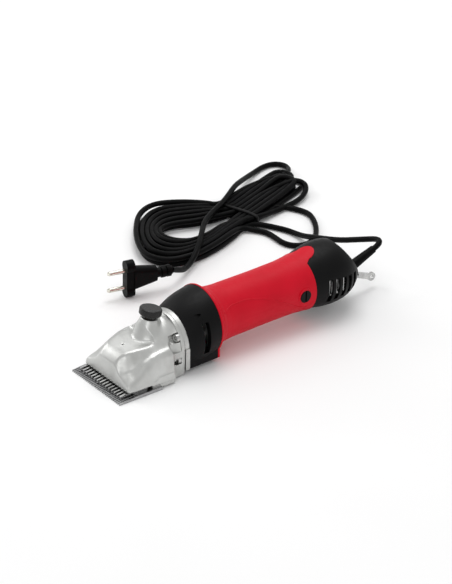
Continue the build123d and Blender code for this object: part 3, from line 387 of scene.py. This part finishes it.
def turn_points(turn):
    """The wide lobe of one turn: inwards in the lower layer, outwards in the upper one."""
    points = []
    for index in range(1, TIE_STEP):
        done = turn + index / TIE_STEP
        if done < TURN_INMOST:
            share = 1 - done / TURN_INMOST
        else:
            share = UPPER_SHARE * (done - TURN_INMOST) / (TURNS - TURN_INMOST)
        share += LOBE_WANDER * math.sin(WANDER_PER_TURN * turn + WANDER_PER_STEP * index)
        climb = min(1.0, max(0.0, (done - LOWER_TURNS) * 2))
        points.append(lobe_point(index, share, LOWER_Z + (UPPER_Z - LOWER_Z) * climb))
    return points


def cord_points():
    """The whole cord: lead, turns of the hank, stray loop, last half turn, tail."""
    points = list(LEAD_ROUTE)
    for turn in range(TURNS):
        points += turn_points(turn)
        if turn < TURNS - 1:
            points += fold_points(turn)
    points += TO_LOOP + LOOP_ROUTE
    points += [lobe_point(index, LAST_SHARE, LAST_Z) for index in range(1, TIE_STEP)]
    points += [bundle_point(along, side, LAST_Z) for along, side in LAST_BUNDLE]
    return points + TAIL_ROUTE


def link_mesh(name, vertices, faces):
    """A new smooth-shaded object from vertices and faces, with its normals outwards."""
    mesh = bpy.data.meshes.new(name)
    mesh.from_pydata(vertices, [], faces)
    bm = bmesh.new()
    bm.from_mesh(mesh)
    bmesh.ops.recalc_face_normals(bm, faces=bm.faces)
    bm.to_mesh(mesh)
    bm.free()
    for polygon in mesh.polygons:
        polygon.use_smooth = True
    obj = bpy.data.objects.new(name, mesh)
    bpy.context.scene.collection.objects.link(obj)
    return obj


TIE_HALF_SPAN = 0.0272
TIE_BOTTOM = 0.0004
TIE_TOP = 0.0136
TIE_WIDTH = 0.0044
TIE_THICK = 0.0011
TIE_SQUARENESS = 0.55        # 1 is an ellipse, 0 a rectangle
TIE_STEPS = 72


def make_tie():
    """Thin band round the neck of the hank, a flat ring with rounded corners."""
    section = [(-0.5, 0.0), (-0.42, 1.0), (0.42, 1.0), (0.5, 0.0)]
    middle = (TIE_TOP + TIE_BOTTOM) / 2
    vertices = []
    for step in range(TIE_STEPS):
        angle = 2 * math.pi * step / TIE_STEPS
        across = math.copysign(abs(math.cos(angle)) ** TIE_SQUARENESS, math.cos(angle))
        upward = math.copysign(abs(math.sin(angle)) ** TIE_SQUARENESS, math.sin(angle))
        for width_share, outward in section:
            side = across * (TIE_HALF_SPAN - TIE_THICK * (1 - outward))
            height = middle + upward * (middle - TIE_BOTTOM - TIE_THICK * (1 - outward))
            vertices.append(bundle_point(width_share * TIE_WIDTH, side, height))
    count = len(section)
    faces = []
    for step in range(TIE_STEPS):
        here = step * count
        there = (step + 1) % TIE_STEPS * count
        for corner in range(count):
            after = (corner + 1) % count
            faces.append((here + corner, here + after, there + after, there + corner))
    tie = dress(link_mesh("hank_tie_band", vertices, faces), "black_plastic")
    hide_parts("cord_tie")
    return tie


def make_cord(tie):
    """The rubber cord from the strain relief to the plug."""
    curve = bpy.data.curves.new("mains_cord", "CURVE")
    curve.dimensions = "3D"
    curve.bevel_depth = CORD_DIAMETER / 2
    curve.bevel_resolution = 3
    curve.resolution_u = 5
    curve.use_fill_caps = True
    points = cord_points()
    spline = curve.splines.new("NURBS")
    spline.points.add(len(points) - 1)
    for target, place in zip(spline.points, points):
        target.co = (*place, 1.0)
    spline.order_u = 3
    spline.use_endpoint_u = True
    cord = bpy.data.objects.new("mains_cord", curve)
    bpy.context.scene.collection.objects.link(cord)
    dress(cord, "rubber")
    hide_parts("cord_lead", "cord_loop", "cord_tail", "cord_hank")
    return cord


# ---------------------------------------------------------------- head casting
TIP_Y = -0.174               # the comb's tooth tips
VOXEL = 0.65                 # millimetres
# Stations behind the comb tips, each with the height on the middle line, then (x, z) of the
# crest, the valley and the ridge beside it, and the height at the side wall.
HEAD_ROWS = [
    (13, 28.5, (11.5, 28.0), (19.0, 20.5), (28.0, 15.5), 13),
    (16, 31.5, (12.5, 31.5), (20.0, 20.5), (28.0, 17.0), 14),
    (19, 34.0, (13.0, 34.0), (21.0, 21.5), (28.0, 18.5), 15),
    (23, 36.0, (15.0, 36.2), (22.5, 22.5), (28.0, 19.8), 16),
    (28, 37.3, (17.0, 37.2), (24.0, 25.0), (28.5, 23.0), 18),
    (36, 38.0, (18.5, 38.0), (25.0, 29.5), (29.0, 28.5), 20),
    (45, 38.0, (19.5, 38.2), (25.5, 32.5), (29.5, 32.5), 22),
    (56, 38.0, (20.0, 38.3), (26.0, 34.5), (30.0, 34.3), 24),
    (66, 37.5, (20.0, 37.6), (26.0, 35.0), (30.0, 34.3), 24),
]
HEAD_HALF = 36.5             # half width at the skirt
HEAD_FRONT = 12.3
HEAD_REAR = 66.0
HEAD_WALL = 3.5
WALL_LEAN = 0.2
SKIRT_Z = 6.9
TOP_BLUR = 1.2
FLOOR_Z = 1.0                # underside of the casting's rear, above the floor
FOOT_START = 40.5
FOOT_HALF = 35.6
LIP_START = 40.0
LIP_Z = (3.3, 12.0)
LIP_NOSE_Z = 5.2
CONE_FOOT = (58.7, 37.0)     # station and height of the cone's base
CONE_LEAN = math.radians(10)
CONE_LENGTH = 19.5
CONE_DEPTH = 6.0             # how far the cone starts inside the casting
CONE_RADII = [14.6, 13.2, 8.3]
CONE_BORE = 5.0
FLANGE_Z = 26.0
FLANGE_RADIUS = 30.2
FLANGE_STATIONS = (78.5, 82.5)
NECK_HALF = 29.5
NECK_RADIUS = 23
NECK_FLARE = 6.0
SCREW_PLACES = [(26.0, 17.5), (23.5, 40.0)]
SCREW_WELL = 4.6
SCREW_BORE = 2.1
WELL_STATIONS = (69.5, 78.6)
OIL_HOLE_S = 31
PIVOT_S = 56
COMB_SCREW_PLACE = (15, 44)
FAR = 50.0                   # a depth that no surface reaches


def soft_max(a, b, blend):
    """The larger of two fields, with a rounded edge where they cross."""
    return 0.5 * (a + b + np.sqrt((a - b) ** 2 + blend ** 2))


def soft_min(a, b, blend):
    """The smaller of two fields, with a rounded edge where they cross."""
    return -soft_max(-a, -b, blend)


def box_field(x, s, z, half, s_range, z_range):
    """Distance-like field of a box about the middle plane; negative inside."""
    side = np.abs(x) - half
    length = np.maximum(s_range[0] - s, s - s_range[1])
    height = np.maximum(z_range[0] - z, z - z_range[1])
    return np.maximum(np.maximum(side, length), height)


def head_height(s_axis, x_axis):
    """Height of the head's top over stations and distances from the middle."""
    rows = []
    for _, middle, crest, valley, ridge, edge in HEAD_ROWS:
        xs = (0, crest[0], valley[0], ridge[0], HEAD_HALF)
        zs = (middle, crest[1], valley[1], ridge[1], edge)
        rows.append(np.interp(np.abs(x_axis), xs, zs))
    stations = [row[0] for row in HEAD_ROWS]
    table = np.array(rows)
    surface = np.array([np.interp(s_axis, stations, column) for column in table.T]).T
    reach = 4
    kernel = np.exp(-0.5 * (np.arange(-reach, reach + 1) * VOXEL / TOP_BLUR) ** 2)
    kernel /= kernel.sum()
    for axis in (0, 1):
        padded = np.pad(surface, [(reach, reach) if a == axis else (0, 0) for a in (0, 1)], mode="edge")
        size = surface.shape[axis]
        shifted = [np.take(padded, range(k, k + size), axis=axis) for k in range(len(kernel))]
        surface = sum(weight * copy for weight, copy in zip(kernel, shifted))
    return surface


def cone_frame(x, s, z):
    """Distance along the leaning cone's axis, from its base, and distance from that axis."""
    lean_s = s - CONE_FOOT[0]
    lean_z = z - CONE_FOOT[1]
    along = lean_s * math.sin(CONE_LEAN) + lean_z * math.cos(CONE_LEAN)
    radial = np.hypot(x, lean_s * math.cos(CONE_LEAN) - lean_z * math.sin(CONE_LEAN))
    return along, radial


def shell_field(x, s, z, top, wall):
    """The body under the top surface, its rear foot and the pointed lips beside the comb."""
    shell = soft_max(0.8 * (z - top), wall, 2.5)
    shell = soft_max(shell, HEAD_FRONT - s, 2.0)
    shell = soft_max(shell, s - HEAD_REAR, 1.0)
    skirt = soft_max(shell, SKIRT_Z - z, 0.4)
    foot = box_field(x, s, z, FOOT_HALF, (FOOT_START, HEAD_REAR), (FLOOR_Z, 9.0))
    nose = (LIP_START - s) * 0.75 + np.abs(z - LIP_NOSE_Z) * 0.9
    lip = np.maximum(box_field(x, s, z, HEAD_HALF - 0.6, (LIP_START, HEAD_REAR - 2), LIP_Z), nose)
    return soft_min(soft_min(skirt, foot, 0.8), lip, 0.8)


def cone_field(x, s, z):
    """The cone that carries the tension knob."""
    along, radial = cone_frame(x, s, z)
    radius = np.interp(along, [-CONE_DEPTH, 0, CONE_LENGTH], CONE_RADII)
    return soft_max(np.maximum(radial - radius, -CONE_DEPTH - along), along - CONE_LENGTH, 0.8)


def neck_field(x, s, z):
    """The flared neck behind the body."""
    radius = NECK_RADIUS + NECK_FLARE * np.clip((s - 62) / 17, 0, 1) ** 2
    neck = np.maximum(np.maximum(np.hypot(x, z - FLANGE_Z) - radius, 56 - s), s - 80)
    return np.minimum(neck, box_field(x, s, z, NECK_HALF, (60, 80), (FLOOR_Z, 27)))


def flange_field(x, s, z):
    """The flat ring that meets the bearing plate, with a square lower half."""
    front, rear = FLANGE_STATIONS
    disc = np.maximum(np.hypot(x, z - FLANGE_Z) - FLANGE_RADIUS, np.maximum(front - s, s - rear))
    disc = np.minimum(disc, box_field(x, s, z, FLANGE_RADIUS, FLANGE_STATIONS, (FLOOR_Z, FLANGE_Z)))
    return soft_max(disc, FLOOR_Z - z, 0.5)


def hollow_fields(x, s, z, top, wall):
    """Everything that is cut away: the inside, the openings, the holes and the screws' wells."""
    inner = np.maximum(z - (top - HEAD_WALL), wall + HEAD_WALL)
    inner = np.maximum(inner, np.maximum(15.5 - s, s - 62.5))
    inner = np.maximum(inner, np.where(s < 39.6, -FAR, 8.2 - z))
    tunnel = box_field(x, s, z, 17.0, (58, 86), (8.2, 31))
    crank = np.maximum(np.hypot(x, z - 18.1) - 13.0, 78 - s)
    along, radial = cone_frame(x, s, z)
    stem = np.maximum(radial - CONE_BORE, -12 - along)
    oil = np.maximum(np.hypot(x, s - OIL_HOLE_S) - 1.0, 30 - z)
    post = np.maximum(np.hypot(x, s - PIVOT_S) - 3.1, z - 9)
    hollows = [inner, tunnel, crank, stem, oil, post]
    for screw_x, screw_z in SCREW_PLACES:
        gap = np.hypot(np.abs(x) - screw_x, z - screw_z)
        well = np.maximum(gap - SCREW_WELL, np.maximum(WELL_STATIONS[0] - s, s - WELL_STATIONS[1]))
        bore = np.maximum(gap - SCREW_BORE, 70 - s)
        hollows.append(np.minimum(well, bore))
    comb_x, comb_s = COMB_SCREW_PLACE
    hollows.append(np.maximum(np.hypot(np.abs(x) - comb_x, s - comb_s) - 2.6, z - 9.2))
    return hollows


def head_field(x, s, z, top):
    """Distance-like field of the whole casting in millimetres; negative inside."""
    wall = np.abs(x) - (HEAD_HALF + WALL_LEAN * (SKIRT_Z - z))
    head = shell_field(x, s, z, top, wall)
    head = soft_min(head, cone_field(x, s, z), 1.8)
    head = soft_min(head, neck_field(x, s, z), 4.0)
    head = np.minimum(head, flange_field(x, s, z))
    head = np.maximum(head, FLOOR_Z - z)
    for hollow in hollow_fields(x, s, z, top, wall):
        head = np.maximum(head, -hollow)
    return head


def make_head():
    """The casting's organic outer form, meshed from its field."""
    x_axis = np.arange(-40, 40 + VOXEL, VOXEL)
    s_axis = np.arange(9, 85 + VOXEL, VOXEL)
    z_axis = np.arange(-1.5, 61 + VOXEL, VOXEL)
    top = head_height(s_axis, x_axis).T[:, :, None]
    x, s, z = np.meshgrid(x_axis, s_axis, z_axis, indexing="ij")
    field = head_field(x, s, z, top).astype(np.float32)
    grid = openvdb.FloatGrid(10.0)
    grid.copyFromArray(field)
    points, triangles, quads = grid.convertToPolygons(isovalue=0.0, adaptivity=0.0)
    start = np.array([x_axis[0] * MM, TIP_Y + s_axis[0] * MM, z_axis[0] * MM])
    vertices = (points * VOXEL * MM + start).tolist()
    faces = triangles.tolist() + quads.tolist()
    head = link_mesh("head_casting_form", vertices, faces)
    head = dress(head, "cast_aluminium")
    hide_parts("head_casting")
    return head


# ---------------------------------------------------------------- raised line on the grip
GRIP_LINE = [
    (-0.042, 0.0500), (-0.030, 0.0530), (-0.012, 0.0530), (0.008, 0.0490), (0.026, 0.0420), (0.040, 0.0330),
    (0.052, 0.0260), (0.062, 0.0230),
]
GRIP_LINE_RADIUS = 0.0007
GRIP_LINE_STEPS = 60
GRIP_LINE_SINK = 0.00025


def shell_side(sign, y, z):
    """Point and outward direction of the red shell's flank at one length and height."""
    shell = nodes["grip_shell"]
    to_shell = shell.matrix_world.inverted()
    start = to_shell @ Vector((sign * 0.08, y, z))
    way = (to_shell.to_3x3() @ Vector((-sign, 0.0, 0.0))).normalized()
    hit, place, normal, _ = shell.ray_cast(start, way)
    if not hit:
        raise RuntimeError("the raised line misses the shell")
    return shell.matrix_world @ place, (shell.matrix_world.to_3x3() @ normal).normalized()


def make_grip_line(sign, name):
    """Shallow raised line that sweeps along the flank, partly sunk in the shell."""
    lengths = [place[0] for place in GRIP_LINE]
    heights = [place[1] for place in GRIP_LINE]
    curve = bpy.data.curves.new(name, "CURVE")
    curve.dimensions = "3D"
    curve.bevel_depth = GRIP_LINE_RADIUS
    curve.bevel_resolution = 3
    curve.use_fill_caps = True
    spline = curve.splines.new("NURBS")
    spline.points.add(GRIP_LINE_STEPS - 1)
    for step in range(GRIP_LINE_STEPS):
        y = lengths[0] + (lengths[-1] - lengths[0]) * step / (GRIP_LINE_STEPS - 1)
        place, outward = shell_side(sign, y, float(np.interp(y, lengths, heights)))
        spline.points[step].co = (*(place - outward * GRIP_LINE_SINK), 1.0)
    spline.order_u = 4
    spline.use_endpoint_u = True
    line = bpy.data.objects.new(name, curve)
    bpy.context.scene.collection.objects.link(line)
    return dress(line, "red_plastic")


paint_frame()
make_cord(make_tie())
make_head()
make_grip_line(1, "grip_line_right")
make_grip_line(-1, "grip_line_left")


# ---------------------------------------------------------------- floor and light
def make_floor():
    """Plain light floor under everything."""
    bm = bmesh.new()
    bmesh.ops.create_grid(bm, x_segments=2, y_segments=2, size=4.0)
    mesh = bpy.data.meshes.new("floor")
    bm.to_mesh(mesh)
    bm.free()
    floor = bpy.data.objects.new("floor", mesh)
    floor.location.z = min(0.0, cad_box[0].z) - 0.0001
    bpy.context.scene.collection.objects.link(floor)
    s = Surface("floor_finish", roughness=0.6)
    s.colours(s.noise(3, 2), (0.3, 0.90, 0.90, 0.90), (0.7, 0.93, 0.93, 0.93))
    mesh.materials.append(s.material)


def area_light(name, place, aim, size, power):
    """Rectangular light that faces the point it is aimed at."""
    data = bpy.data.lights.new(name, "AREA")
    data.shape = "RECTANGLE"
    data.size, data.size_y = size
    data.energy = power
    light = bpy.data.objects.new(name, data)
    light.location = place
    light.rotation_euler = (Vector(aim) - Vector(place)).to_track_quat("-Z", "Y").to_euler()
    bpy.context.scene.collection.objects.link(light)


def make_light():
    """White surroundings, a large light above and behind the tool, a fill and a rim light."""
    bpy.context.scene.view_settings.view_transform = "Standard"
    world = bpy.data.worlds.new("studio")
    world.use_nodes = True
    background = world.node_tree.nodes["Background"]
    background.inputs["Color"].default_value = (1.0, 1.0, 1.0, 1.0)
    background.inputs["Strength"].default_value = 0.68
    bpy.context.scene.world = world
    middle = (-0.08, 0.03, 0.03)
    area_light("key", (-0.5, 0.5, 1.9), middle, (1.3, 1.3), 17)
    area_light("front_fill", (1.5, -1.6, 1.1), middle, (0.8, 0.8), 5)
    area_light("left_rim", (-1.6, -0.7, 0.9), middle, (0.6, 1.2), 7)


make_floor()
make_light()
